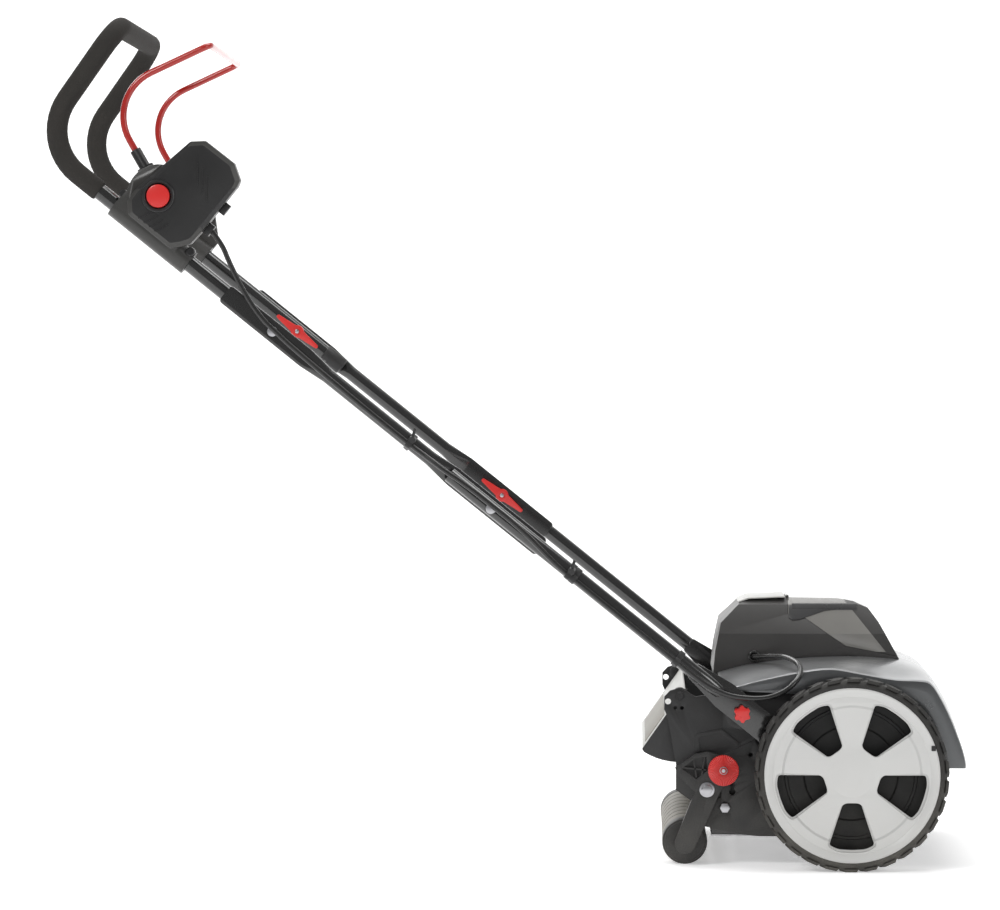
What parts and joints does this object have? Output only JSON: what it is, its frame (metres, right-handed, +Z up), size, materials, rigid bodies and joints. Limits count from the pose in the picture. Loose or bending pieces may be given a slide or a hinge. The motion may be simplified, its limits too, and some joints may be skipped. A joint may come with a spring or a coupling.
{
  "type": "reel mower",
  "caption": "Cordless reel mower with large front wheels, a height-adjustable rear roller, a motor-driven reel, a folding handle, a switch box and a wire bail.",
  "frame": {"origin": "on the ground at the middle of the footprint", "axes": "+X forward in the mowing direction, +Y to the left side, +Z up"},
  "size_m": [1.2205, 0.536, 1.1269],
  "materials": {
    "plastic_black": "fine-grained dark plastic",
    "plastic_dark": "satin dark grey plastic",
    "hood_silver": "satin silver-grey",
    "rim_grey": "satin light warm grey plastic",
    "tyre_rubber": "matte rubber",
    "tube_black": "gloss black paint",
    "foam": "soft closed-cell foam",
    "red_plastic": "satin red plastic",
    "red_wire": "red plastic-coated wire",
    "zinc": "zinc-plated steel",
    "blade_steel": "ground steel",
    "dark_steel": "dark painted steel",
    "aluminium": "turned aluminium",
    "panel_light": "satin light grey plastic",
    "lid_smoke": "smoked glossy plastic",
    "flap_light": "light grey plastic",
    "roller_grey": "light grey plastic",
    "cable_black": "flexible cable sheath",
    "belt_rubber": "toothed rubber belt"
  },
  "bodies": {
    "deck": {"side_plate_right": "plastic_black", "side_plate_left": "plastic_black", "tie_rods": "zinc", "stub_axles": "zinc", "pivot_bolts": "zinc", "hood": "hood_silver", "battery_housing": "plastic_dark", "top_panel": "panel_light", "battery": "plastic_dark", "cable_grommet": "cable_black", "motor_body": "dark_steel", "drive_belt": "belt_rubber", "belt_cover": "plastic_black", "reel_bearings": "zinc", "bed_knife": "blade_steel", "knife_carrier": "dark_steel", "cable_on_deck": "cable_black"},
    "battery_lid": {"battery_lid": "lid_smoke", "lid_bar": "plastic_dark"},
    "flap": {"flap_face": "flap_light", "flap_cheeks": "plastic_black"},
    "motor_rotor": {"motor_pulley": "aluminium"},
    "reel": {"reel_shaft": "dark_steel", "reel_blades": "blade_steel", "reel_pulley": "aluminium"},
    "wheel_right": {"rim_right": "rim_grey", "tyre_right": "tyre_rubber", "wheel_disc_right": "plastic_black"},
    "wheel_left": {"rim_left": "rim_grey", "tyre_left": "tyre_rubber", "wheel_disc_left": "plastic_black"},
    "roller_frame": {"roller_arms": "plastic_black", "roller_shaft": "zinc"},
    "roller": {"roller_ends": "plastic_black", "roller_segments": "roller_grey"},
    "index_knob_right": {"index_knob_right": "red_plastic"},
    "index_knob_left": {"index_knob_left": "red_plastic"},
    "lower_handle": {"lower_tubes": "tube_black", "lower_bolts": "zinc", "cable_clips": "plastic_black"},
    "star_knob_right": {"star_knob_right": "red_plastic"},
    "star_knob_left": {"star_knob_left": "red_plastic"},
    "middle_handle": {"middle_rails": "tube_black", "upper_joint_bolts": "zinc"},
    "wing_nut_lower_right": {"wing_nut_lower_right": "red_plastic"},
    "wing_nut_lower_left": {"wing_nut_lower_left": "red_plastic"},
    "wing_nut_upper_right": {"wing_nut_upper_right": "red_plastic"},
    "wing_nut_upper_left": {"wing_nut_upper_left": "red_plastic"},
    "upper_handle": {"upper_handle_tube": "tube_black", "foam_grip": "foam", "handle_clamps": "plastic_black", "switch_housing": "plastic_black", "switch_cover": "plastic_black", "switch_springs": "zinc", "bail_pins": "zinc", "cable_glands": "plastic_black", "cable_on_handle": "cable_black"},
    "start_button": {"start_button": "red_plastic"},
    "bail": {"bail_wire": "red_wire", "bail_hubs": "plastic_black"}
  },
  "joints": [
    {"name": "wheel_right_spin", "type": "hinge", "parent": "deck", "child": "wheel_right", "pos_m": [0.45491, -0.248, 0.127], "axis": [0, 1, 0], "continuous": true},
    {"name": "wheel_left_spin", "type": "hinge", "parent": "deck", "child": "wheel_left", "pos_m": [0.45491, 0.248, 0.127], "axis": [0, 1, 0], "continuous": true},
    {"name": "reel_spin", "type": "hinge", "parent": "deck", "child": "reel", "pos_m": [0.35491, 0, 0.112], "axis": [0, 1, 0], "continuous": true},
    {"name": "motor_spin", "type": "hinge", "parent": "deck", "child": "motor_rotor", "pos_m": [0.4849, 0.204, 0.2], "axis": [0, 1, 0], "continuous": true},
    {"name": "height_adjust", "type": "hinge", "parent": "deck", "child": "roller_frame", "pos_m": [0.26591, 0, 0.102], "axis": [0, 1, 0], "range_deg": [0, 58]},
    {"name": "roller_spin", "type": "hinge", "parent": "roller_frame", "child": "roller", "pos_m": [0.23691, 0, 0.03], "axis": [0, 1, 0], "continuous": true},
    {"name": "index_pull_right", "type": "slide", "parent": "roller_frame", "child": "index_knob_right", "axis": [0, -1, 0], "range_m": [0, 0.006], "stiffness_N_per_m": 600, "springref_m": -0.004},
    {"name": "index_pull_left", "type": "slide", "parent": "roller_frame", "child": "index_knob_left", "axis": [0, 1, 0], "range_m": [0, 0.006], "stiffness_N_per_m": 600, "springref_m": -0.004},
    {"name": "flap_swing", "type": "hinge", "parent": "deck", "child": "flap", "pos_m": [0.2299, 0, 0.2255], "axis": [0, 1, 0], "range_deg": [0, 70]},
    {"name": "lid_open", "type": "hinge", "parent": "deck", "child": "battery_lid", "pos_m": [0.3779, 0, 0.347], "axis": [0, -1, 0], "range_deg": [0, 75]},
    {"name": "handle_tilt", "type": "hinge", "parent": "deck", "child": "lower_handle", "pos_m": [0.35047, 0, 0.17817], "axis": [0, 1, 0], "range_deg": [-10, 10], "deforming": ["cable_on_deck"]},
    {"name": "middle_fold", "type": "hinge", "parent": "lower_handle", "child": "middle_handle", "pos_m": [-0.01893, 0, 0.47518], "axis": [0, 1, 0], "range_deg": [0, 135]},
    {"name": "upper_fold", "type": "hinge", "parent": "middle_handle", "child": "upper_handle", "pos_m": [-0.30885, 0, 0.70828], "axis": [0, -1, 0], "range_deg": [0, 150], "deforming": ["cable_on_handle"]},
    {"name": "bail_pull", "type": "hinge", "parent": "upper_handle", "child": "bail", "pos_m": [-0.45693, 0, 0.88636], "axis": [0, -1, 0], "range_deg": [0, 28], "stiffness_Nm_per_rad": 1, "springref_deg": -34.38},
    {"name": "start_press", "type": "slide", "parent": "upper_handle", "child": "start_button", "axis": [0, 1, 0], "range_m": [0, 0.004], "stiffness_N_per_m": 400, "springref_m": -0.003, "deforming": ["switch_springs"]},
    {"name": "star_knob_right_turn", "type": "hinge", "parent": "lower_handle", "child": "star_knob_right", "pos_m": [0.31165, -0.234, 0.20489], "axis": [0, 1, 0], "continuous": true},
    {"name": "wing_nut_lower_right_turn", "type": "hinge", "parent": "lower_handle", "child": "wing_nut_lower_right", "pos_m": [-0.01893, -0.206, 0.47518], "axis": [0, 1, 0], "continuous": true},
    {"name": "wing_nut_upper_right_turn", "type": "hinge", "parent": "middle_handle", "child": "wing_nut_upper_right", "pos_m": [-0.30885, -0.183, 0.70828], "axis": [0, 1, 0], "continuous": true},
    {"name": "star_knob_left_turn", "type": "hinge", "parent": "lower_handle", "child": "star_knob_left", "pos_m": [0.31165, 0.234, 0.20489], "axis": [0, 1, 0], "continuous": true},
    {"name": "wing_nut_lower_left_turn", "type": "hinge", "parent": "lower_handle", "child": "wing_nut_lower_left", "pos_m": [-0.01893, 0.206, 0.47518], "axis": [0, 1, 0], "continuous": true},
    {"name": "wing_nut_upper_left_turn", "type": "hinge", "parent": "middle_handle", "child": "wing_nut_upper_left", "pos_m": [-0.30885, 0.183, 0.70828], "axis": [0, 1, 0], "continuous": true}
  ],
  "couplings": [
    {"joint": "motor_spin", "follows": "reel_spin", "ratio": 2.4286}
  ]
}
